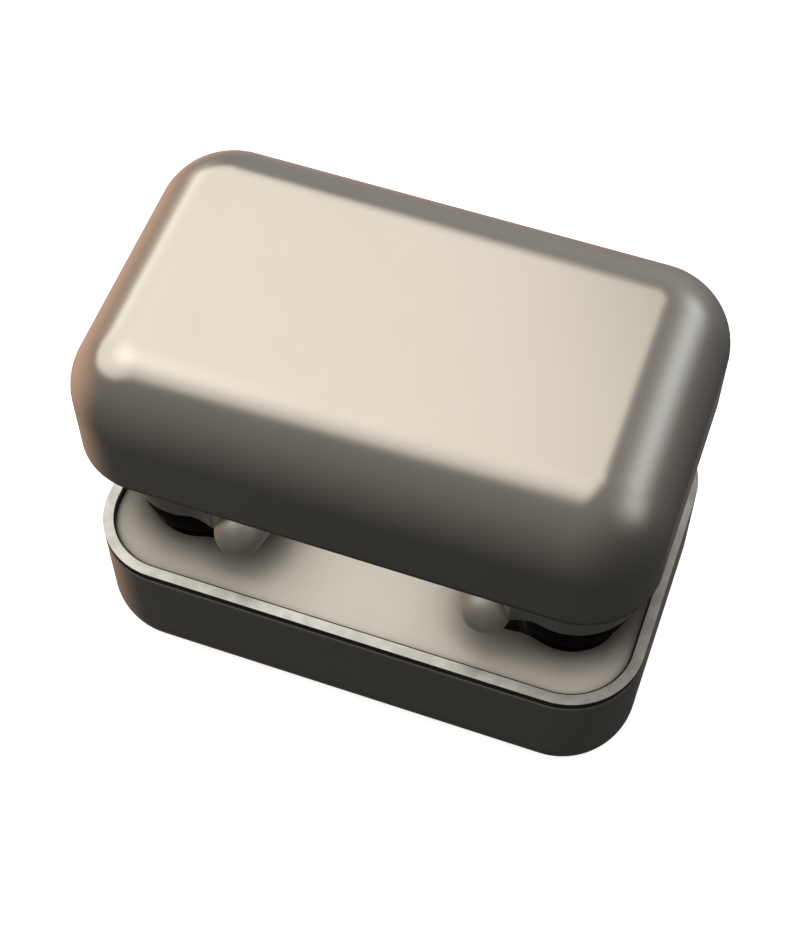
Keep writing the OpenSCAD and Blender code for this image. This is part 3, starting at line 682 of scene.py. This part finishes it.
def edge_gap(x, y):
    """Distance in from the tray's outer edge."""
    a, b = abs(x) - (TRAY_RIGHT - TRAY_CORNER), abs(y) - (TRAY_BACK - TRAY_CORNER)
    return TRAY_CORNER - math.hypot(max(a, 0), max(b, 0)) - min(max(a, b), 0)


print("from the tray's middle to a mouth, mm:", round(mouth_gap(0, 0), 1))

# %% [markdown]
# Three things pull the surface down: it rolls over the edge of a mouth like a quarter of an ellipse,
# it eases towards the mouth from further off, and it dips under the stem. Towards the tray's own
# edge the last two fade out, so that the edge stays level against the ring.

# %% Heights of the tray
ROLL_DROP, ROLL_WIDTH = 1.4, 4.5
EASE_DROP, EASE_WIDTH = 0.45, 8.5
DIP_DROP, DIP_WIDTH = 0.6, 6.5
FADE_WIDTH = 4.0


def hollow(gap, width):
    """1 at the bottom of a soft hollow, 0 beyond its width."""
    return 0.5 + 0.5 * math.cos(math.pi * between(gap / width, 0, 1))


def tray_height(x, y):
    """Height of the tray's surface at a place in plan."""
    over = between(1 - mouth_gap(x, y) / ROLL_WIDTH, 0, 1)
    roll = ROLL_DROP * (1 - math.sqrt(1 - over * over))
    ease = EASE_DROP * hollow(mouth_gap(x, y), EASE_WIDTH) + DIP_DROP * hollow(stem_gap(x, y), DIP_WIDTH)
    return TRAY_TOP - roll - ease * between(edge_gap(x, y) / FADE_WIDTH, 0, 1)


print("height between the earbuds and beside a pocket, mm:", TRAY_TOP, round(tray_height(POCKET_X, -16), 2))

# %% [markdown]
# The points of the sheet lie close together where it bends most: loops round each mouth, wider
# apart as they go out, loops along the outer edge, and a plain grid in between. One side's loops
# are mirrored for the other, so that left and right are exactly alike.

# %% Points of the tray
MOUTH_MIDDLE = (21.2, -9.6)
MOUTH_STEP, EDGE_STEP, GRID = 0.35, 0.7, 0.66


def even(loop, step):
    """The same closed loop with points an even step apart."""
    made, left = [], 0.0
    for (x0, y0), (x1, y1) in zip(loop, loop[1:] + loop[:1]):
        length = math.hypot(x1 - x0, y1 - y0)
        while left < length:
            made.append((x0 + (x1 - x0) * left / length, y0 + (y1 - y0) * left / length))
            left += step
        left -= length
    return made if math.dist(made[0], made[-1]) > step / 2 else made[:-1]


def round_rectangle(inset, step):
    """Points along the tray's edge, moved in by an inset."""
    loop, r = [], TRAY_CORNER - inset
    for quarter, (sx, sy) in enumerate(((1, 1), (-1, 1), (-1, -1), (1, -1))):
        for i in range(19):
            t = math.pi / 2 * (quarter + i / 18)
            x, y = sx * (TRAY_RIGHT - TRAY_CORNER), sy * (TRAY_BACK - TRAY_CORNER)
            loop.append((x + r * math.cos(t), y + r * math.sin(t)))
    return even(loop, step)


def mouth_loop(gap, step):
    """Points round the right-hand mouth, at a gap outside its wall: found by a search along rays."""
    loop, (x, y) = [], MOUTH_MIDDLE
    for i in range(360):
        t = math.radians(i)
        near, far = 0.0, 30.0
        for _ in range(20):
            middle = (near + far) / 2
            if mouth_gap(x + middle * math.cos(t), y + middle * math.sin(t)) < gap:
                near = middle
            else:
                far = middle
        loop.append((x + near * math.cos(t), y + near * math.sin(t)))
    return even(loop, step)


def mirrored(loop):
    return [(-x, y) for x, y in loop]


points, walls = [], []
mouth = mouth_loop(0, MOUTH_STEP)
for loop in (round_rectangle(0, EDGE_STEP), mouth, mirrored(mouth)):
    first = len(points)
    points += loop
    walls.append([first + i for i in range(len(loop))])
for inset in (0.06, 0.14, 0.3):
    points += round_rectangle(inset, EDGE_STEP)
for gap in (0.02, 0.06, 0.13, 0.22, 0.34, 0.5, 0.7, 0.95, 1.25, 1.6, 2.1, 2.7, 3.4, 4.2, 5.0):
    loop = [p for p in mouth_loop(gap, MOUTH_STEP + gap / 10) if edge_gap(*p) > 0.5]
    points += loop + mirrored(loop)
columns, rows = int(TRAY_RIGHT / GRID), int(TRAY_BACK / GRID)
for i in range(-columns, columns + 1):
    for j in range(-rows, rows + 1):
        x, y = i * GRID, j * GRID
        if edge_gap(x, y) > EDGE_STEP and mouth_gap(x, y) > 5.4:
            points.append((x, y))
rims = [(loop[i - 1], loop[i]) for loop in walls for i in range(len(loop))]
print("tray points:", len(points))

# %% [markdown]
# A triangulation joins points in plan into flat triangles and keeps the edges that it is told to.
# Every piece that is built here ends the same way: it gets a finish, moves with a body of the CAD,
# and may stand for a CAD solid, which is then hidden but still there for the collisions.


def in_metres(x, y, z):
    return (x * MM, y * MM, z * MM)


def triangulated(plan, edges):
    """The corners and the triangles between points in plan."""
    flat, _, faces = geometry.delaunay_2d_cdt([Vector(p) for p in plan], edges, [], 0, 0.0001)[:3]
    return flat, faces


def middle_of(face, flat):
    return sum((flat[i] for i in face), Vector((0, 0))) / len(face)


def join_loops(work, loops, capped=False):
    """Joins neighbouring loops of corners into a skin, and closes its ends if it is capped."""
    for low, high in zip(loops, loops[1:]):
        for i in range(len(low)):
            work.faces.new((low[i - 1], low[i], high[i], high[i - 1]))
    if capped:
        work.faces.new(loops[0])
        work.faces.new(loops[-1])


def solid_from(name, made, material, body, *stands_for):
    """A piece from a built mesh: smooth except at hard edges, dressed, and riding on a body."""
    mesh = bpy.data.meshes.new(name)
    made.to_mesh(mesh)
    made.free()
    mesh.shade_smooth()
    mesh.set_sharp_from_angle(angle=math.radians(38))
    mesh.materials.append(finishes[material])
    piece = bpy.data.objects.new(name, mesh)
    bpy.context.scene.collection.objects.link(piece)
    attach(piece, body)
    if stands_for:
        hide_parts(*stands_for)
    print(name, "has", len(mesh.polygons), "faces")
    return piece


# %% [markdown]
# Each corner of the flat triangles is lifted to its height, with a tiny rounding along the outer
# edge, and the walls are drawn down from the rims: shallow ones outside, and ones as deep as the
# step inside the mouths.

# %% Surface and walls of the tray
TRAY_UNDER, STEP = 20.3, 16.5
EDGE_ROUND, EDGE_DROP = 0.3, 0.12


def edge_round(gap):
    """How far the softened outer edge lies below the surface, at a gap in from it."""
    away = between(1 - gap / EDGE_ROUND, 0, 1)
    return EDGE_DROP * (1 - math.sqrt(1 - away * away * 0.98))


flat, faces = triangulated(points, rims)
work = bmesh.new()
corners = []
for x, y in flat:
    corners.append(work.verts.new(in_metres(x, y, tray_height(x, y) - edge_round(edge_gap(x, y)))))
for face in faces:
    mid = middle_of(face, flat)
    if mouth_gap(*mid) > 0 and edge_gap(*mid) > 0:
        work.faces.new([corners[i] for i in face])
bmesh.ops.recalc_face_normals(work, faces=work.faces)
if sum(face.normal.z for face in work.faces) < 0:
    bmesh.ops.reverse_faces(work, faces=work.faces)
feet = {}
for edge in [edge for edge in work.edges if edge.is_boundary]:
    here = edge.link_loops[0].vert
    ahead = edge.other_vert(here)
    for vert in (here, ahead):
        if vert not in feet:
            low = TRAY_UNDER if edge_gap(vert.co.x / MM, vert.co.y / MM) < 1 else STEP
            feet[vert] = work.verts.new((vert.co.x, vert.co.y, low * MM))
    work.faces.new((ahead, here, feet[here], feet[ahead]))
print("the tray's surface and walls have", len(work.faces), "faces")

# %% [markdown]
# The step on which an earbud rests is a flat floor with a round well in it. Below the step the
# wells are plain bores, so those are copied from the CAD tray, cut off just under the step.

# %% Step and wells of the tray
WELL_R = POCKET_R - 0.05


def flat_sheet(work, outline, hole, z, side):
    """A level floor between an outline and a hole in it, on the right or, with side -1, the left."""
    count = len(outline)
    edges = [(i - 1 if i else count - 1, i) for i in range(count)]
    edges += [(count + (i - 1 if i else len(hole) - 1), count + i) for i in range(len(hole))]
    flat, faces = triangulated(outline + hole, edges)
    corners = [work.verts.new(in_metres(side * p.x, p.y, z)) for p in flat]
    for face in faces:
        mid = middle_of(face, flat)
        if mouth_gap(*mid) < 0.01 and math.dist(mid, (POCKET_X, POCKET_FRONT)) > WELL_R - 0.01:
            work.faces.new([corners[i] for i in (face if side > 0 else reversed(face))])


well = []
for i in range(72):
    t = math.radians(5 * i)
    well.append((POCKET_X + WELL_R * math.cos(t), POCKET_FRONT + WELL_R * math.sin(t)))
for side in (-1, 1):
    flat_sheet(work, mouth, well, STEP, side)
bores = bmesh.new()
bores.from_mesh(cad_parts["tray"].data)
bmesh.ops.bisect_plane(
    bores, geom=bores.verts[:] + bores.edges[:] + bores.faces[:], plane_co=(0, 0, (STEP - 0.02) * MM),
    plane_no=(0, 0, 1), clear_outer=True,
)
lower = bpy.data.meshes.new("tray_bores")
bores.to_mesh(lower)
bores.free()
work.from_mesh(lower)
tray = solid_from("tray_sheet", work, "sand_tray", "base", "tray")
tray.visible_glossy = False

# %% [markdown]
# Each earbud shows two forms: a broad head, whose edge drops straight down and is drawn out into a
# web towards the stem, and the stem itself, a round bar with a long rounded end that leans in.
# Both are skins over a plan. A plan is a list of points on a middle line, each with its reach out
# to the edge, and a list of levels says how much of the reach is left at each height. So the head
# with its web and the long stem come from the same few lines.

# %% Plans of the earbud
HEAD_X, HEAD_FRONT, HEAD_BACK, HEAD_R = POCKET_X, POCKET_FRONT, POCKET_BACK, 9.35
TIP_X, TIP_Y, TIP_R = 17.4, -16.35, 3.35
STEM_LONG, LEAN = 10, math.radians(14)
WEB_SIDE = [(17.55, -4), (17.5, -8), (17.6, -12), (18.3, -15.5)]
WEB_FRONT = [(20.5, -17.5), (21.6, -17.05), (22.8, -16.7), (24.0, -16.6), (25.0, -16.8)]


def softened(loop):
    """Cuts the corners of a closed loop, once."""
    made = []
    for (x0, y0), (x1, y1) in zip(loop, loop[1:] + loop[:1]):
        made.append((0.75 * x0 + 0.25 * x1, 0.75 * y0 + 0.25 * y1))
        made.append((0.25 * x0 + 0.75 * x1, 0.25 * y0 + 0.75 * y1))
    return made


def head_plan():
    """The head: half circles in front and at the back, and the web drawn out towards the stem."""
    loop = []
    for i in range(-32, 61):
        t = math.radians(3 * i)
        y = HEAD_FRONT if i < 0 else HEAD_BACK
        loop.append((HEAD_X + HEAD_R * math.cos(t), y + HEAD_R * math.sin(t)))
    plan = []
    for x, y in even(softened(softened(loop + WEB_SIDE + WEB_FRONT)), 0.4):
        middle = between(y, HEAD_FRONT, HEAD_BACK)
        plan.append(((HEAD_X, middle), (x - HEAD_X, y - middle)))
    return plan


def stem_plan():
    """The stem: two half circles, joined by straight sides that lean in."""
    along = Vector((-math.sin(LEAN), math.cos(LEAN)))
    across = Vector((math.cos(LEAN), math.sin(LEAN)))
    plan = []
    for i in range(64):
        t = 2 * math.pi * (i + 0.5) / 64
        base = Vector((TIP_X, TIP_Y)) + along * (STEM_LONG if math.sin(t) > 0 else 0)
        plan.append((base, (along * math.sin(t) + across * math.cos(t)) * TIP_R))
    return plan


print("points round the head and the stem:", len(head_plan()), len(stem_plan()))

# %% [markdown]
# From below, the head starts inside itself with a thin lip, drops straight for its outer edge,
# turns over a round shoulder and closes with a low crown. The crown is part of a large ball, and
# the shoulder stops where its slope is the crown's, so no line shows between them.

# %% Levels of the earbud
COVER_Z, STEM_Z = 29.7, 29.2
SHOULDER_R, SHOULDER_Z, SHOULDER_TURN = 5.0, 2.73, 76.8
CROWN_R, CROWN_REACH, CROWN_DROP = 24.0, 5.49, 15.8


def head_levels():
    """Scale and height of each level: the lip, the straight edge, the shoulder and the crown."""
    levels = [(0.6, 5.6), (0.9, 2.4), (0.93, 0.0), (0.985, 0.0), (1.0, 0.14), (1.0, 1.4)]
    for i in range(15):
        t = math.radians(SHOULDER_TURN * i / 14)
        reach = HEAD_R - SHOULDER_R + SHOULDER_R * math.cos(t)
        levels.append((reach / HEAD_R, SHOULDER_Z + SHOULDER_R * math.sin(t)))
    for i in range(1, 8):
        reach = CROWN_REACH * (1 - i / 7)
        levels.append((reach / HEAD_R, math.sqrt(CROWN_R * CROWN_R - reach * reach) - CROWN_DROP))
    return [(scale, COVER_Z + z) for scale, z in levels]


def stem_levels():
    """The same for the stem: a flat underside, a softened edge, and the round."""
    levels = [(0.0, -1.55), (0.8, -1.55), (0.875, -1.5)]
    for i in range(15):
        t = math.radians(-25 + 115 * i / 14)
        levels.append((math.cos(t), TIP_R * math.sin(t)))
    return [(scale, STEM_Z + z) for scale, z in levels]


print("levels of the head and the stem:", len(head_levels()), len(stem_levels()))

# %% [markdown]
# A skin is one loop of the plan for each level, joined up. Head and stem overlap inside, where
# nobody sees it, so they need no seam. The left cover is the right one mirrored: earbuds are a
# pair, and the case shows them as mirror images.

# %% Covers of the earbuds
def skin(work, side, plan, levels):
    """Joins loops of one plan, each scaled to its level, into a skin."""
    loops = []
    for scale, z in levels:
        loop = [(side * (base[0] + reach[0] * scale), base[1] + reach[1] * scale, z) for base, reach in plan]
        loops.append([work.verts.new(in_metres(*corner)) for corner in loop])
    join_loops(work, loops)


for side, name in ((-1, "left"), (1, "right")):
    work = bmesh.new()
    skin(work, side, head_plan(), head_levels())
    skin(work, side, stem_plan(), stem_levels())
    bmesh.ops.remove_doubles(work, verts=work.verts, dist=0.02 * MM)
    bmesh.ops.recalc_face_normals(work, faces=work.faces)
    solid_from(name + "_cover_skin", work, "bud_metal", name + "_bud", name + "_bud_cover")

# %% [markdown]
# The springs under the charging pins and the meshes of the ear tips are of wire. A wire is a tube
# along a path: a ring of points stands square to the path at each of its points, and neighbouring
# rings are joined. The number of points round a ring is kept low, because the wires are thin.

# %% Wire
def tube(work, path, reach, sides):
    """A round bar of a reach in mm along a path in mm, closed at both ends."""
    loops = []
    for i, here in enumerate(path):
        ahead = (Vector(path[min(i + 1, len(path) - 1)]) - Vector(path[max(i - 1, 0)])).normalized()
        across = ahead.cross((0.01, 0.02, 1) if abs(ahead.z) < 0.9 else (1, 0, 0)).normalized()
        up = across.cross(ahead)
        ring = []
        for k in range(sides):
            t = 2 * math.pi * k / sides
            out = (across * math.cos(t) + up * math.sin(t)) * reach
            ring.append(work.verts.new((Vector(here) + out) * MM))
        loops.append(ring)
    join_loops(work, loops, capped=True)


SPRING_LOW, SPRING_HIGH = (corner[2] for corner in node_box("left_pin_springs"))
print("room for a spring, mm:", round(SPRING_HIGH - SPRING_LOW, 2))

# %% [markdown]
# The spring under each charging pin is wound from steel wire: three open turns that give, and a
# flat half turn at each end to stand on. The two springs of a pocket are one piece, as the two pins
# are. The coil ends a hair below the pin's foot, so that the wire doesn't cut into the pin when both
# are pressed down.

# %% Springs of the charging pins
PIN_Y, PIN_APART, COIL_R, WIRE_R, TURNS = 3.4, 4.0, 0.7, 0.1, 4


def coil_path(x, y):
    """Points of a wire that winds up round a pin's line."""
    path = []
    top = SPRING_HIGH - 0.02
    for i in range(18 * TURNS + 1):
        turn = i / 18
        rise = between((turn - 0.5) / (TURNS - 1), 0, 1)
        z = SPRING_LOW + WIRE_R + (top - SPRING_LOW - 2 * WIRE_R) * rise
        t = 2 * math.pi * turn
        path.append((x + COIL_R * math.cos(t), y + COIL_R * math.sin(t), z))
    return path


for side, name in ((-1, "left"), (1, "right")):
    work = bmesh.new()
    for pair in (-0.5, 0.5):
        tube(work, coil_path(side * POCKET_X + pair * PIN_APART, PIN_Y), WIRE_R, 8)
    bmesh.ops.recalc_face_normals(work, faces=work.faces)
    springs = solid_from(name + "_pin_coils", work, "steel", "base", name + "_pin_springs")
    foot = in_metres(side * POCKET_X, PIN_Y, SPRING_LOW)
    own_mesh(springs)

# %% [markdown]
# The opening of each ear tip is covered with a fine steel mesh, which keeps ear wax out and lets
# sound through. It is woven: every wire goes over one and under the next. A wave along each wire
# does that, shifted by half a wave from wire to wire, and a pressed rim holds the ends.

# %% Woven mesh of the ear tips
MESH_Z = sum(corner[2] for corner in node_box("left_nozzle_mesh")) / 2
MESH_R, PITCH, WAVE, MESH_WIRE_R, RIM_R = 2.3, 0.4, 0.065, 0.055, 0.1


def wire_path(offset, turned, parity):
    """One wire of the weave, at an offset from the middle, along X or turned along Y."""
    half_length = math.sqrt(MESH_R * MESH_R - offset * offset)
    count = max(round(2 * half_length / (PITCH / 5)), 2)
    path = []
    for i in range(count + 1):
        along = half_length * (2 * i / count - 1)
        z = MESH_Z + WAVE * math.cos(math.pi * (along / PITCH + parity))
        x, y = (offset, along) if turned else (along, offset)
        path.append((x, y, z))
    return path


for side, name in ((-1, "left"), (1, "right")):
    work = bmesh.new()
    for k in range(-5, 6):
        for turned in (False, True):
            path = wire_path(k * PITCH, turned, k + (1 if turned else 0))
            tube(work, [(side * POCKET_X + x, POCKET_FRONT + y, z) for x, y, z in path], MESH_WIRE_R, 5)
    rim = []
    for i in range(49):
        t = 2 * math.pi * i / 48
        rim.append((side * POCKET_X + MESH_R * math.cos(t), POCKET_FRONT + MESH_R * math.sin(t), MESH_Z))
    tube(work, rim, RIM_R, 8)
    bmesh.ops.recalc_face_normals(work, faces=work.faces)
    solid_from(name + "_mesh_weave", work, "steel", name + "_bud", name + "_nozzle_mesh")

# %% [markdown]
# The charging socket shows its tongue at the back of the case. Twelve gold contacts lie along each
# face of it, each with a rounded front end over which the plug slides. One contact is a loop of
# points in plan, drawn up to a slightly smaller loop.

# %% Contacts in the socket
CONTACT_FROM, CONTACT_TO, TONGUE_THICK = 17.0, 20.6, 0.7
CONTACTS, CONTACT_PITCH, CONTACT_R = 12, 0.5, 0.13


def contact(work, x, sign):
    """One strip at a place across the tongue, on its upper face or, with sign -1, its lower one."""
    loops = []
    for inset, lift in ((0, 0), (0, 0.03), (0.03, 0.05)):
        reach = CONTACT_R - inset
        plan = [(x - reach, CONTACT_FROM + inset), (x + reach, CONTACT_FROM + inset)]
        for i in range(7):
            t = math.pi * i / 6
            plan.append((x + reach * math.cos(t), CONTACT_TO - CONTACT_R + reach * math.sin(t)))
        z = SOCKET_Z + sign * (TONGUE_THICK / 2 + lift)
        loops.append([work.verts.new(in_metres(px, py, z)) for px, py in plan])
    join_loops(work, loops, capped=True)


work = bmesh.new()
for i in range(CONTACTS):
    for sign in (-1, 1):
        contact(work, (i - (CONTACTS - 1) / 2) * CONTACT_PITCH, sign)
bmesh.ops.recalc_face_normals(work, faces=work.faces)
solid_from("socket_contacts", work, "gold", "base")

# %% [markdown]
# The battery is a soft pouch of foil, not a box. Its sides are round from the pressed layers
# inside, and at one end the two foils are sealed together in a thin flat lip. Each level is a
# rounded rectangle of points, and the lip is drawn out of the middle levels.

# %% Levels of the battery pouch
(_, _, CELL_LOW), (CELL_RIGHT, CELL_BACK, CELL_TOP) = node_box("battery")
LIP, LIP_THICK, CELL_CORNER = 2.6, 0.24, 1.6
SIDE_IN, SIDE_HIGH, FACE_INSET = 1.0, 1.1, 5.0

middle = (CELL_LOW + CELL_TOP) / 2
levels = [(FACE_INSET, CELL_LOW, False)]
for i in range(9):
    t = math.radians(-90 + 10 * i)
    levels.append((SIDE_IN * (1 - math.cos(t)), CELL_LOW + SIDE_HIGH * (1 + math.sin(t)), False))
levels.append((0, middle - 0.2, False))
levels += [(0, middle - LIP_THICK / 2, True), (0, middle + LIP_THICK / 2, True)]
levels.append((0, middle + 0.2, False))
for i in range(1, 10):
    t = math.radians(10 * i)
    levels.append((SIDE_IN * (1 - math.cos(t)), CELL_TOP - SIDE_HIGH * (1 - math.sin(t)), False))
levels.append((FACE_INSET, CELL_TOP, False))
print("levels of the pouch:", len(levels))

# %% [markdown]
# Each level now becomes a loop, and the loops are joined as those of the covers were. The pouch
# keeps to the box of the CAD's battery, so the frame round it still fits.

# %% Battery pouch
def pouch_loop(inset, z, lip):
    """A rounded rectangle, moved in by an inset, and at its back by the lip's length as well."""
    loop = []
    for quarter, (sx, sy) in enumerate(((1, 1), (-1, 1), (-1, -1), (1, -1))):
        for i in range(9):
            t = math.pi / 2 * (quarter + i / 8)
            back = 0 if sy < 0 or lip else LIP
            x = sx * (CELL_RIGHT - CELL_CORNER - inset) + CELL_CORNER * math.cos(t)
            y = sy * (CELL_BACK - CELL_CORNER - inset) - back + CELL_CORNER * math.sin(t)
            loop.append((x, y, z))
    return loop


work = bmesh.new()
loops = [[work.verts.new(in_metres(*corner)) for corner in pouch_loop(*level)] for level in levels]
join_loops(work, loops, capped=True)
bmesh.ops.recalc_face_normals(work, faces=work.faces)
solid_from("battery_pouch", work, "foil", "base", "battery")

# %% [markdown]
# Last, the box of the dressed case is measured against the box of the bare CAD, and how much it
# grew is printed. They should be equal, since every rebuilt piece lies inside what it stands for.

# %% Sizes
full_box = [list(corner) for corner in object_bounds()]
grown = [round((b - a) / MM, 2) for one, two in zip(cad_box, full_box) for a, b in zip(one, two)]
print("grown by, mm:", grown)
